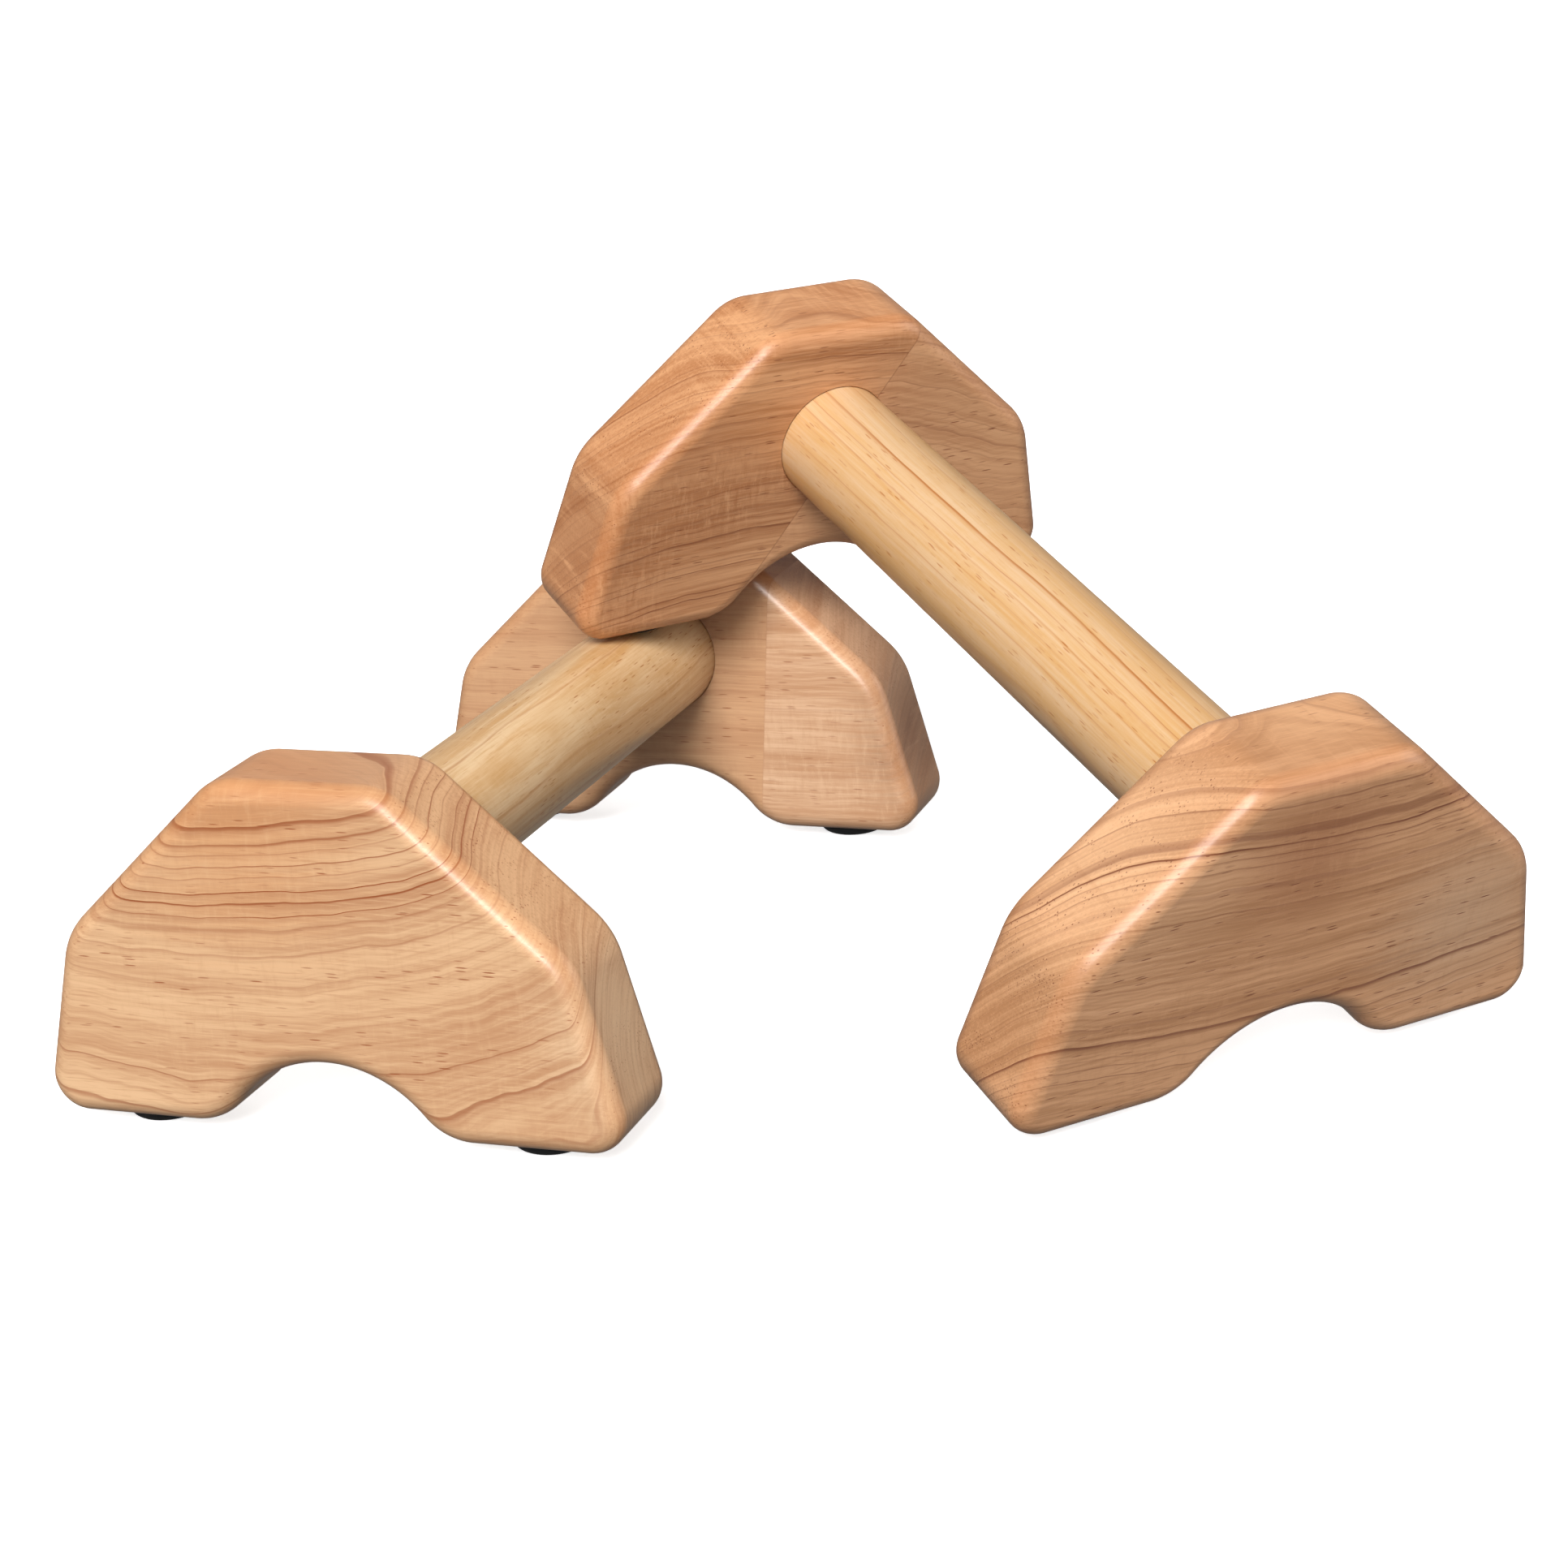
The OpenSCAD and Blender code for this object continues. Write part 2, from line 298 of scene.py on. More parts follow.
def turned(profile, axis, centre, count=96, wander=0.0, seed=0.0):
    """A skin turned about a line along axis "Y" or "Z" through centre.

    profile is [(radius, place along the axis, radial part and axial part of the normal)].
    wander makes the radius uneven, by that many millimetres at most.
    """
    skin = Skin()
    rings, normals = [], []
    for radius, along, out, up in profile:
        ring, ring_normals = [], []
        for i in range(count):
            a = 2 * math.pi * i / count
            c, s = math.cos(a), math.sin(a)
            r = radius + wander * noise.noise(Vector((3 * c, 3 * s, seed)))
            if axis == "Y":
                ring.append(Vector(centre) + Vector((r * c, along, r * s)))
                ring_normals.append(Vector((out * c, up, out * s)))
            else:
                ring.append(Vector(centre) + Vector((r * c, r * s, along)))
                ring_normals.append(Vector((out * c, out * s, up)))
        rings.append(skin.ring(ring))
        normals.append(ring_normals)
    for k in range(len(rings) - 1):
        skin.band(rings[k], rings[k + 1], normals[k], normals[k + 1])
    axial = Vector((0, 1, 0)) if axis == "Y" else Vector((0, 0, 1))
    skin.cap([rings[0]], axial * (-1 if profile[0][1] < profile[-1][1] else 1))
    skin.cap([rings[-1]], axial * (1 if profile[0][1] < profile[-1][1] else -1))
    return skin


def grip_skin():
    """The round grip, with its ends hidden in the sockets."""
    half = GRIP_LEN / 2 + SOCKET_DEPTH - END_GAP
    straight = 2 * half - 2 * GRIP_CHAMFER
    diagonal = math.sqrt(0.5)
    end_r = GRIP_R - GRIP_CHAMFER
    body = [(GRIP_R, -half + GRIP_CHAMFER + straight * i / GRIP_RINGS, 1, 0)
            for i in range(GRIP_RINGS + 1)]
    profile = [(end_r, -half, diagonal, -diagonal)] + body + [(end_r, half, diagonal, diagonal)]
    return turned(profile, "Y", (0, 0, GRIP_Z))


def pad_skin(end, side):
    """A rubber pad with a rounded lower edge and a slightly eased upper one."""
    dome = []
    for i in range(DOME_STEPS + 1):
        a = math.pi / 2 * i / DOME_STEPS
        dome.append((PAD_R - PAD_EDGE + PAD_EDGE * math.sin(a), PAD_EDGE * (1 - math.cos(a)),
                     math.sin(a), -math.cos(a)))
    profile = dome + [(PAD_R, PAD_H - 0.35, 1, 0), (PAD_R - 0.2, PAD_H - 0.12, 0.7, 0.7)]
    return turned(profile, "Z", (side * PAD_X, end * FOOT_Y, 0), count=72)


def adhesive_skin(end, side):
    """The uneven film of adhesive that shows round the top of a pad."""
    profile = [(PAD_R - 0.35, PAD_H - 0.3, 0.7, -0.7), (PAD_R + 0.05, PAD_H - 0.2, 1, 0),
               (PAD_R + 0.25, PAD_H - 0.02, 1, 0)]
    return turned(profile, "Z", (side * PAD_X, end * FOOT_Y, 0), count=144, wander=0.45,
                  seed=7 * end + 3 * side)


# ---------------------------------------------------------------- materials

def linear(hex_colour):
    """The linear RGBA of an sRGB colour written as six hex digits."""
    channels = [int(hex_colour[i:i + 2], 16) / 255 for i in (0, 2, 4)]
    return [c / 12.92 if c <= 0.04045 else ((c + 0.055) / 1.055) ** 2.4 for c in channels] + [1.0]


# How far apart in noise space two seeds that differ by one are
SEED_STEP = (3.7, 1.9, 5.3)
# The sockets of a Mix node: its factor, then A and B for numbers and for colours
FACTOR, A_NUMBER, B_NUMBER, A_COLOUR, B_COLOUR = 0, 2, 3, 6, 7
NUMBER_OUT, COLOUR_OUT = 0, 2


class Shader:
    """Builds one material's node tree."""

    def __init__(self, name):
        self.material = bpy.data.materials.new(name)
        self.material.use_nodes = True
        self.tree = self.material.node_tree
        self.tree.nodes.clear()
        self.shader = self.tree.nodes.new("ShaderNodeBsdfPrincipled")
        output = self.tree.nodes.new("ShaderNodeOutputMaterial")
        self.tree.links.new(self.shader.outputs["BSDF"], output.inputs["Surface"])

    def node(self, kind, inputs=None, **settings):
        made = self.tree.nodes.new("ShaderNode" + kind)
        for key, value in settings.items():
            setattr(made, key, value)
        for key, value in (inputs or {}).items():
            self.put(made.inputs[key], value)
        return made

    def put(self, socket_, value):
        """Links a socket to another, or sets its value."""
        if isinstance(value, bpy.types.NodeSocket):
            self.tree.links.new(value, socket_)
        else:
            socket_.default_value = value

    def math(self, operation, *values, clamp=False):
        made = self.node("Math", operation=operation, use_clamp=clamp)
        for socket_, value in zip(made.inputs, values):
            self.put(socket_, value)
        return made.outputs[0]

    def vector(self, operation, *values):
        made = self.node("VectorMath", operation=operation)
        for socket_, value in zip(made.inputs, values):
            self.put(socket_, value)
        return made.outputs[0]

    def place(self):
        """The point in the bar's own frame, in millimetres, as mark_place() stored it."""
        return self.node("Attribute", attribute_name="bar_place").outputs["Vector"]

    def split(self, point):
        return self.node("SeparateXYZ", {"Vector": point}).outputs

    def join(self, x, y, z):
        return self.node("CombineXYZ", {"X": x, "Y": y, "Z": z}).outputs[0]

    def noise(self, point, size, detail=2.0, seed=0.0, roughness=0.5):
        """Noise about 0.5 whose grains have the given size in millimetres along each axis."""
        scaled = self.vector("MULTIPLY", point, tuple(1 / s for s in size))
        moved = self.vector("ADD", scaled, tuple(seed * step for step in SEED_STEP))
        made = self.node("TexNoise", {"Vector": moved, "Scale": 1.0, "Detail": detail,
                                      "Roughness": roughness})
        return made.outputs["Fac"]

    def ramp(self, factor, low, high, smooth=True):
        """0 at low and beyond it, 1 at high and beyond it; low may be the larger."""
        made = self.node("MapRange", {"Value": factor, "From Min": low, "From Max": high},
                         interpolation_type="SMOOTHSTEP" if smooth else "LINEAR")
        return made.outputs["Result"]

    def mix(self, factor, a, b, how="MIX"):
        """Colour a turned towards b, or multiplied by it, by factor."""
        made = self.node("Mix", data_type="RGBA", blend_type=how)
        self.put(made.inputs[FACTOR], factor)
        self.put(made.inputs[A_COLOUR], a)
        self.put(made.inputs[B_COLOUR], b)
        return made.outputs[COLOUR_OUT]

    def blend(self, factor, a, b):
        """Number a turned towards b by factor."""
        made = self.node("Mix", data_type="FLOAT")
        self.put(made.inputs[FACTOR], factor)
        self.put(made.inputs[A_NUMBER], a)
        self.put(made.inputs[B_NUMBER], b)
        return made.outputs[NUMBER_OUT]

    def finish(self, **values):
        """Sets the shader's inputs, named with _ for each space, and returns the material."""
        for key, value in values.items():
            self.put(self.shader.inputs[key.replace("_", " ")], value)
        return self.material


def apart(s, *steps):
    """The length of a vector given by its parts."""
    squares = [s.math("MULTIPLY", step, step) for step in steps]
    total = squares[0]
    for square in squares[1:]:
        total = s.math("ADD", total, square)
    return s.math("SQRT", total)


def board(s, point, light, deep, line, pith, bow=(0.0, 0.0), slope=0.0, twist=(0.0, 0.0), gap=8.0,
          wavy=5.0, ripple=1.5, bands=(), faint=0.25, pores=0.5, figure=0.2, patches=(), seed=1.0):
    """Colour, height and pores of one board whose grain runs along the first axis of point.

    light and deep are the tones of the wood between rings, and line is that of the rings.
    pith is where the centre of the tree was, across the board.  bow is (where along the grain,
    how much) the rings bend upwards, slope how much they climb along the grain, and twist is
    (where across it, how much) they fall away to both sides.  gap is the usual distance between
    rings, which wander by about wavy and ripple.  Each of bands is (distance from the pith, half
    width, strength) of a stretch of dark rings; elsewhere their strength is faint.  pores is how
    many pores show, and figure how much the grain shimmers across its length.  Each of patches
    is (centre, radius, colour, amount) of a soft patch of another colour; on some feet a patch is
    painted light or painted shade on one side.
    """
    twist_reach, turn_radius = 20.0, 70.0
    x, y, z = s.split(point)
    from_bow = s.math("SUBTRACT", x, bow[0])
    lifted = s.math("MULTIPLY", s.math("MULTIPLY", from_bow, from_bow), bow[1])
    fall = s.math("MULTIPLY", s.math("SUBTRACT", y, twist[0]), -twist[1])
    climb = s.math("ADD", s.math("MULTIPLY", x, slope),
                   s.math("MULTIPLY", apart(s, x, twist_reach), fall))
    across = s.math("SUBTRACT", y, pith[0])
    up = s.math("SUBTRACT", s.math("SUBTRACT", z, pith[1]), s.math("ADD", lifted, climb))
    slow = s.noise(point, (110, 70, 70), detail=1, seed=seed)
    quick = s.noise(point, (22, 30, 30), detail=2, seed=seed + 3)
    radius = apart(s, across, up)
    radius = s.math("ADD", radius, s.math("MULTIPLY", s.math("SUBTRACT", slow, 0.5), 4 * wavy))
    radius = s.math("ADD", radius, s.math("MULTIPLY", s.math("SUBTRACT", quick, 0.5), 4 * ripple))
    round_pith = s.math("MULTIPLY", s.math("ARCTAN2", across, up), turn_radius)
    grown = s.join(x, radius, round_pith)

    # Rings: each darkens slowly and ends in a thin line of its own strength.
    count = s.math("DIVIDE", radius, gap)
    spacing = s.node("TexNoise", {"W": count, "Scale": 0.6, "Detail": 1.0},
                     noise_dimensions="1D").outputs["Fac"]
    count = s.math("ADD", count, s.math("MULTIPLY", spacing, 1.8))
    within = s.math("FRACT", count)
    strength = s.node("TexWhiteNoise", {"W": s.math("FLOOR", count)},
                      noise_dimensions="1D").outputs["Value"]
    soft = s.math("POWER", within, 3.0)
    thin = s.math("MULTIPLY", s.ramp(within, 0.78, 0.93), s.ramp(within, 1.0, 0.97))
    seen = faint
    for centre, half_width, amount in bands:
        far_off = s.math("ABSOLUTE", s.math("SUBTRACT", radius, centre))
        dark = s.math("MULTIPLY", s.ramp(far_off, half_width, half_width * 0.4), amount)
        seen = s.math("MAXIMUM", seen, dark)
    broken = s.ramp(s.noise(grown, (60, 3, 50), detail=3, seed=seed + 6), 0.3, 0.6)
    strong = s.math("MULTIPLY", seen, s.blend(s.ramp(strength, 0.05, 0.8), 0.25, 1.0))
    strong = s.math("MULTIPLY", strong, s.blend(broken, 0.5, 1.0))

    # Tone follows the rings, and fine fibres run along the grain.
    drift = s.noise(grown, (220, 15, 90), detail=3, seed=seed + 9, roughness=0.6)
    streak = s.noise(grown, (90, 1.6, 40), detail=4, seed=seed + 15, roughness=0.7)
    tone = s.math("ADD", s.math("MULTIPLY", drift, 0.5), s.math("MULTIPLY", streak, 0.5))
    fibre = s.noise(point, (22, 0.8, 0.8), detail=4, seed=seed + 12, roughness=0.7)
    colour = s.mix(s.ramp(tone, 0.36, 0.66), light, deep)
    colour = s.mix(s.math("MULTIPLY", s.ramp(fibre, 0.5, 0.68), 0.6), colour, deep)
    colour = s.mix(s.math("MULTIPLY", s.ramp(fibre, 0.5, 0.32), 0.5), colour, light)
    # Patches of another colour: on some feet these are painted light or painted shade on one side.
    for centre, size, paint, amount in patches:
        distance = apart(s, *[s.math("SUBTRACT", part, c) for part, c in zip((x, y, z), centre)])
        ragged = s.math("ADD", distance, s.math("MULTIPLY", s.math("SUBTRACT", streak, 0.5), size))
        colour = s.mix(s.math("MULTIPLY", s.ramp(ragged, size, 0.0), amount), colour, paint)
    sheen = s.noise(point, (2.2, 40, 9), detail=4, seed=seed + 18, roughness=0.7)
    where = s.ramp(s.noise(point, (45, 45, 30), detail=1, seed=seed + 19), 0.35, 0.6)
    where = s.math("MULTIPLY", where, figure)
    colour = s.mix(s.math("MULTIPLY", s.ramp(sheen, 0.5, 0.7), where), colour, light)
    colour = s.mix(s.math("MULTIPLY", s.ramp(sheen, 0.5, 0.3), where), colour, deep)
    colour = s.mix(s.math("MULTIPLY", s.math("MULTIPLY", soft, strong), 0.45), colour, line)
    colour = s.mix(s.math("MULTIPLY", s.math("MULTIPLY", thin, strong), 0.9), colour, line)

    # Pores: short dark dashes along the grain, dots on the end grain.
    pore_length, pore_width = 8.0, 0.85
    cells = s.vector("MULTIPLY", point, (1 / pore_length, 1 / pore_width, 1 / pore_width))
    cells = s.node("TexVoronoi", {"Vector": cells, "Scale": 1.0, "Randomness": 1.0})
    pick = s.split(cells.outputs["Color"])[0]
    pore = s.math("MULTIPLY", s.ramp(cells.outputs["Distance"], 0.30, 0.16),
                  s.ramp(pick, 1 - pores, 1.0))
    patch = s.ramp(s.noise(grown, (60, 6, 40), detail=2, seed=seed + 21), 0.38, 0.6)
    pore = s.math("MULTIPLY", pore, s.blend(patch, 0.15, 1.0))
    colour = s.mix(s.math("MULTIPLY", pore, 0.85), colour, line)

    height = s.math("SUBTRACT", s.math("MULTIPLY", fibre, 0.5), s.math("MULTIPLY", pore, 0.8))
    height = s.math("SUBTRACT", height, s.math("MULTIPLY", s.math("MULTIPLY", thin, strong), 0.2))
    return colour, height, pore


def lacquered(s, point, colour, height, pore, painted_light_shade=None):
    """Satin lacquer over wood.

    The last argument paints light and shade: (the colour of the painted shade that the routed edges turn
    towards, the tint of the painted light that makes the rim lighter than the faces).
    """
    # Painted light and shade: the rim (top, slopes and sides) is tinted lighter than the faces, and the
    # routed edges turn darker and redder.
    if painted_light_shade:
        edge_shade_colour, rim_light_tint = painted_light_shade
        rim = s.node("Attribute", attribute_name="rim").outputs["Fac"]
        edge = s.node("Attribute", attribute_name="edge").outputs["Fac"]
        edge_shaded = s.mix(0.5, colour, edge_shade_colour)
        rim_lit = s.mix(rim, colour, rim_light_tint, "MULTIPLY")
        colour = s.mix(s.math("MULTIPLY", edge, 0.5), rim_lit, edge_shaded)
    handled = s.noise(point, (22, 22, 22), detail=3, seed=31)
    rough = s.math("ADD", s.math("MULTIPLY", handled, 0.16), 0.34)
    rough = s.math("ADD", rough, s.math("MULTIPLY", pore, 0.15))
    sanding = s.noise(point, (9, 9, 9), detail=2, seed=34)
    height = s.math("ADD", height, s.math("MULTIPLY", sanding, 1.2))
    bump = s.node("Bump", {"Strength": 0.35, "Distance": 0.00012, "Height": height}).outputs[0]
    return s.finish(Base_Color=colour, Roughness=rough, Normal=bump, IOR=1.5, Coat_Weight=0.5,
                    Coat_Roughness=0.3, Coat_IOR=1.5, Specular_IOR_Level=0.4)


def foot_wood(name, boards, painted_light_shade, seam=None):
    """Wood for a foot, with its grain along X.

    seam is (x at z = 0, dx per dz, darkness) of the glue line between two boards.
    """
    s = Shader(name)
    point = s.place()
    colour, height, pore = board(s, point, **boards[0])
    if seam:
        seam_x, seam_slope, darkness = seam
        other, other_height, other_pore = board(s, point, **boards[1])
        x, _, z = s.split(point)
        beyond = s.math("SUBTRACT", x, s.math("ADD", s.math("MULTIPLY", z, seam_slope), seam_x))
        side = s.ramp(beyond, -0.08, 0.08)
        glue = s.math("MULTIPLY", s.ramp(s.math("ABSOLUTE", beyond), 0.45, 0.1), darkness)
        colour = s.mix(side, colour, other)
        colour = s.mix(glue, colour, boards[0]["line"])
        height = s.math("SUBTRACT", s.blend(side, height, other_height), s.math("MULTIPLY", glue, 0.6))
        pore = s.blend(side, pore, other_pore)
    return lacquered(s, point, colour, height, pore, painted_light_shade)


def grip_wood(name, **look):
    """Wood for a grip, with its grain along Y."""
    s = Shader(name)
    point = s.place()
    x, y, z = s.split(point)
    along = s.join(y, x, z)
    colour, height, pore = board(s, along, **look)
    return lacquered(s, point, colour, height, pore)


def rubber():
    """Matt black rubber with a fine moulded grain, dusty where it is scuffed."""
    s = Shader("pad_rubber")
    point = s.place()
    grain = s.noise(point, (0.35, 0.35, 0.35), detail=3, seed=41)
    dust = s.ramp(s.noise(point, (4, 4, 2), detail=4, seed=43), 0.5, 0.75)
    colour = s.mix(s.math("MULTIPLY", dust, 0.35), linear("151516"), linear("3a3937"))
    rough = s.math("ADD", s.math("MULTIPLY", grain, 0.2), 0.5)
    bump = s.node("Bump", {"Strength": 0.5, "Distance": 0.00006, "Height": grain}).outputs[0]
    return s.finish(Base_Color=colour, Roughness=rough, Normal=bump, Specular_IOR_Level=0.4)


def adhesive():
    """Dried clear adhesive: milky where it is thick, with dark specks of rubber."""
    s = Shader("adhesive")
    point = s.place()
    thick = s.noise(point, (0.8, 0.8, 0.8), detail=3, seed=51)
    colour = s.mix(s.ramp(thick, 0.46, 0.58), linear("29272a"), linear("d8d2c8"))
    bump = s.node("Bump", {"Strength": 0.6, "Distance": 0.0001, "Height": thick}).outputs[0]
    rough = s.math("ADD", s.math("MULTIPLY", thick, 0.3), 0.15)
    return s.finish(Base_Color=colour, Roughness=rough, Normal=bump)


def zinc_steel():
    """Zinc-plated steel with a fine turned grain."""
    s = Shader("screw_steel")
    point = s.place()
    turning = s.noise(point, (6, 6, 0.12), detail=2, seed=61)
    bloom = s.noise(point, (2.5, 2.5, 2.5), detail=4, seed=63)
    colour = s.mix(s.ramp(bloom, 0.4, 0.7), linear("c4c7cb"), linear("96999e"))
    rough = s.math("ADD", s.math("MULTIPLY", bloom, 0.25), 0.22)
    bump = s.node("Bump", {"Strength": 0.4, "Distance": 0.00004, "Height": turning}).outputs[0]
    return s.finish(Base_Color=colour, Roughness=rough, Normal=bump, Metallic=1.0)


HONEY = dict(light=linear("d4ad85"), deep=linear("b48560"), line=linear("8a451f"))
PALE = dict(light=linear("d1ac8b"), deep=linear("b08360"), line=linear("864c2c"))
RUSSET = dict(light=linear("cc9a72"), deep=linear("a67650"), line=linear("662f17"))
CHESTNUT = dict(light=linear("cf9b70"), deep=linear("a46c43"), line=linear("6b3213"))
AMBER = dict(light=linear("d09e74"), deep=linear("b07c55"), line=linear("7a3f20"))
STRAW = dict(light=linear("e3c59b"), deep=linear("c89a62"), line=linear("a8642b"))
# What lacquered() takes as its last argument: the colour of the painted shade on the routed edges, and
# the tint of the painted light on the rim
PAINTED_LIGHT_SHADE_HONEY = (linear("c4824c"), (1.06, 1.0, 0.95, 1.0))
PAINTED_LIGHT_SHADE_RUSSET = (linear("b87445"), (1.05, 1.03, 1.0, 1.0))

WOOD = {
    "standing_near_foot": foot_wood("standing_near_wood", [
        dict(HONEY, pith=(-104, -16), bow=(-32, 0.0022), gap=3.3, wavy=1.6, ripple=0.9,
             bands=[(106, 13, 1.3), (121, 6, 0.8), (88, 5, 0.7), (58, 9, 0.6)], faint=0.2, pores=0.6,
             patches=[((-20, -140, 100), 60, linear("c48552"), 0.5),
                      # The second patch is painted light on the foot's right side.
                      ((95, -137, 40), 42, linear("e6cba8"), 0.6)], seed=1.0)], PAINTED_LIGHT_SHADE_HONEY),
    "standing_far_foot": foot_wood("standing_far_wood", [
        dict(PALE, light=linear("c49a74"), pith=(60, -140), gap=7, wavy=2.5, ripple=0.6,
             bands=[(230, 12, 0.4)], faint=0.2, pores=0.8, figure=0.35, seed=4.2),
        dict(PALE, pith=(190, -110), gap=7, wavy=2.5, ripple=0.6, faint=0.16, pores=0.8, figure=0.35,
             # This patch is painted shade on the foot's right side.
             patches=[((100, 137, 40), 44, linear("704529"), 0.9)], seed=6.9)],
        PAINTED_LIGHT_SHADE_HONEY, seam=(33, 0.094, 0.1)),
    "leaning_near_foot": foot_wood("leaning_near_wood", [
        dict(RUSSET, pith=(-112, -90), slope=-0.02, bow=(0, 0.0009), twist=(-156.5, 0.016), gap=3.4,
             wavy=2.2, ripple=0.9, faint=0.22, pores=0.8,
             bands=[(182, 11, 0.95), (200, 6, 0.7), (160, 5, 0.5), (130, 7, 0.8), (117, 4, 0.8)],
             # The first patch is painted light on the foot's upper left slope.
             patches=[((-64, -128, 84), 60, linear("e0b68f"), 0.5),
                      ((5, -126, 106), 36, linear("d8a980"), 0.5),
                      ((58, -150, 44), 45, linear("bf9e80"), 0.6),
                      ((-5, -156, 82), 34, linear("8f5836"), 0.5)], seed=8.1)],
        PAINTED_LIGHT_SHADE_RUSSET),
    "leaning_far_foot": foot_wood("leaning_far_wood", [
        dict(CHESTNUT, pith=(170, -50), bow=(-35, -0.002), twist=(118.5, 0.016), gap=3.8, wavy=2.5,
             ripple=0.9, bands=[(104, 6, 1.6), (88, 8, 1.6), (155, 9, 1.0)], faint=0.3, pores=0.5,
             figure=0.7, patches=[((-60, 120, 60), 44, linear("93592f"), 0.3),
                                  ((-88, 140, 34), 42, linear("8d5a37"), 0.5)], seed=10.4),
        dict(AMBER, pith=(150, 160), slope=-0.3, gap=6, faint=0.3, pores=0.95, seed=12.6)],
        PAINTED_LIGHT_SHADE_RUSSET, seam=(-40.3, 0.678, 0.35)),
    "standing_grip": grip_wood("standing_grip_wood", **STRAW, pith=(-45, 30),
                               gap=4, wavy=1.2, ripple=0.15, bands=[(50, 6, 0.8)], faint=0.38,
                               pores=1.0, seed=15.0),
    "leaning_grip": grip_wood("leaning_grip_wood", **dict(STRAW, light=linear("d0af89")), pith=(-60, 45),
                              gap=4, wavy=1.2, ripple=0.15, bands=[(66, 7, 0.9)], faint=0.38, pores=1.0,
                              seed=17.5),
}
RUBBER = rubber()
ADHESIVE = adhesive()
STEEL = zinc_steel()


# ---------------------------------------------------------------- the bars

def build_bar(bar, matrix):
    """Builds one bar's feet, pads, adhesive and grip, and paints its CAD screws."""
    body = bar + "_bar"
    for end_name, end in ENDS.items():
        foot = f"{bar}_{end_name}_foot"
        foot_skin(end).object(foot + "_wood", matrix, WOOD[foot], body, bar + "_foot_wood", [foot])
        for side_name, side in SIDES.items():
            pad = f"{bar}_{end_name}_{side_name}_pad"
            pad_skin(end, side).object(pad + "_rubber", matrix, RUBBER, body, "pad_rubber", [pad])
            adhesive_skin(end, side).object(pad + "_adhesive", matrix, ADHESIVE, body, "pad_rubber")
        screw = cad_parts[f"{bar}_{end_name}_locking_screw"]
        screw.data.materials.clear()
        screw.data.materials.append(STEEL)
        mark_place(screw.data, matrix)
    grip = bar + "_grip"
    grip_skin().object(grip + "_wood", matrix, WOOD[grip], body, "grip_wood", [grip])


for bar, matrix in BARS.items():
    build_bar(bar, matrix)


# ---------------------------------------------------------------- studio

def plain(name, glow, base):
    """White paint with a faint unevenness that glows a little, so that shadows stay pale."""
    s = Shader(name)
    point = s.place()
    mottle = s.noise(point, (300, 300, 300), detail=3, seed=71)
    colour = s.mix(mottle, linear(base), linear("f7f7f7"))
    rough = s.math("ADD", s.math("MULTIPLY", mottle, 0.1), 0.6)
    return s.finish(Base_Color=colour, Roughness=rough, Specular_IOR_Level=0.2,
                    Emission_Color=(1.0, 1.0, 1.0, 1.0), Emission_Strength=glow)


def staged(name, points, faces, material):
    """A piece of the studio that lights nothing but itself."""
    mesh = bpy.data.meshes.new(name)
    mesh.from_pydata(points, [], faces)
    mesh.shade_smooth()
    mesh.materials.append(material)
    mark_place(mesh, Matrix.Identity(4))
    obj = bpy.data.objects.new(name, mesh)
    obj.visible_diffuse = False
    obj.visible_glossy = False
    bpy.context.scene.collection.objects.link(obj)
    return obj


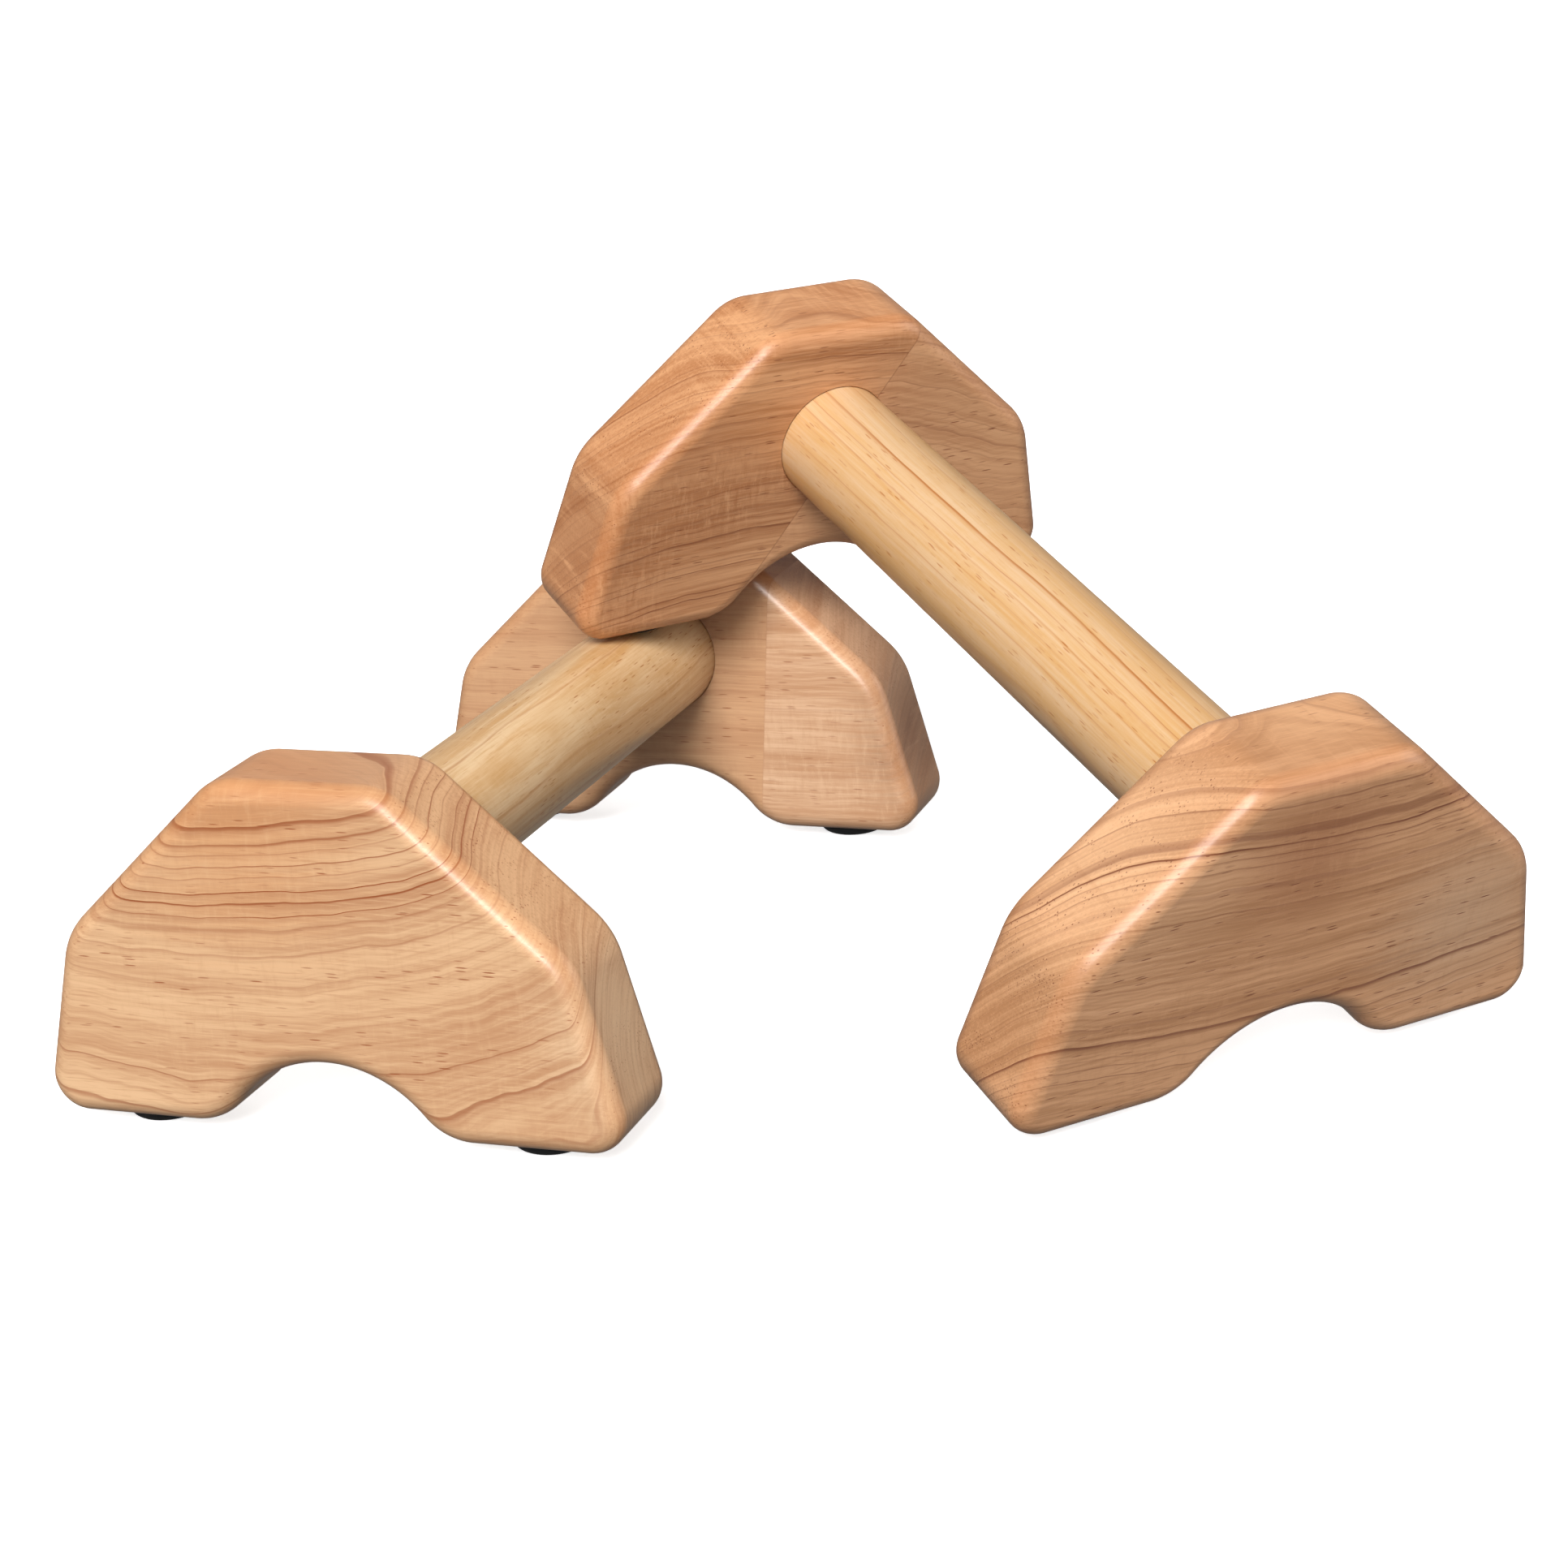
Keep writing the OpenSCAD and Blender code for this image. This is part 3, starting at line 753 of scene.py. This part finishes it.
def floor_and_backdrop():
    """A round floor with a low round wall behind it, both out of the lamps' way."""
    reach, height, count = 14.0, 9.0, 96
    rim = [(reach * math.cos(2 * math.pi * i / count), reach * math.sin(2 * math.pi * i / count))
           for i in range(count)]
    staged("floor", [(x, y, 0.0) for x, y in rim], [tuple(range(count))],
           plain("floor_paint", 0.72, "e0e0e0"))
    wall = [(x, y, -0.01) for x, y in rim] + [(x, y, height) for x, y in rim]
    sides = [(i, (i + 1) % count, count + (i + 1) % count, count + i) for i in range(count)]
    backdrop = staged("backdrop", wall, sides, plain("backdrop_paint", 1.0, "f7f7f7"))
    backdrop.visible_shadow = False


def lamp(name, direction, strength, spread, diffuse=True, glossy=True):
    """A far-off soft light that shines from a direction, as wide as spread in degrees.

    The wood's colour and its gloss can be lit apart.
    """
    light = bpy.data.lights.new(name, "SUN")
    light.energy = strength
    light.angle = math.radians(spread)
    obj = bpy.data.objects.new(name, light)
    obj.rotation_euler = Vector(direction).to_track_quat("Z", "Y").to_euler()
    obj.visible_diffuse = diffuse
    obj.visible_glossy = glossy
    bpy.context.scene.collection.objects.link(obj)


def camera():
    """The camera at the photographer's place, with the lens in millimetres."""
    place = (0.3112, -0.9307, 0.3769)
    heading, looking_down, roll = 20.41, 18.03, -3.85
    data = bpy.data.cameras.new("camera")
    data.sensor_width = 36.0
    data.lens = 74.57
    data.clip_end = 60.0
    obj = bpy.data.objects.new("camera", data)
    obj.matrix_world = (Matrix.Translation(place)
                        @ Matrix.Rotation(math.radians(heading), 4, "Z")
                        @ Matrix.Rotation(math.radians(90 - looking_down), 4, "X")
                        @ Matrix.Rotation(math.radians(roll), 4, "Z"))
    bpy.context.scene.collection.objects.link(obj)
    bpy.context.scene.camera = obj


world = bpy.data.worlds.new("studio")
world.use_nodes = True
world.node_tree.nodes["Background"].inputs["Color"].default_value = linear("ffffff")
world.node_tree.nodes["Background"].inputs["Strength"].default_value = 0.18
bpy.context.scene.world = world
bpy.context.scene.view_settings.view_transform = "Standard"

FROM_ABOVE = (0.10, -0.76, 0.64)
FROM_FRONT = (0.30, -0.87, 0.37)
FROM_RIGHT = (0.90, 0.30, 0.30)
FROM_BEHIND = (-0.35, 0.90, 0.20)

floor_and_backdrop()
lamp("key", FROM_ABOVE, 4.5, 30, glossy=False)
lamp("sheen", FROM_ABOVE, 1.6, 30, diffuse=False)
lamp("fill", FROM_RIGHT, 0.6, 40)
lamp("front", FROM_FRONT, 0.5, 20, glossy=False)
lamp("glint", FROM_FRONT, 1.2, 15, diffuse=False)
lamp("back", FROM_BEHIND, 1.7, 40, glossy=False)
camera()
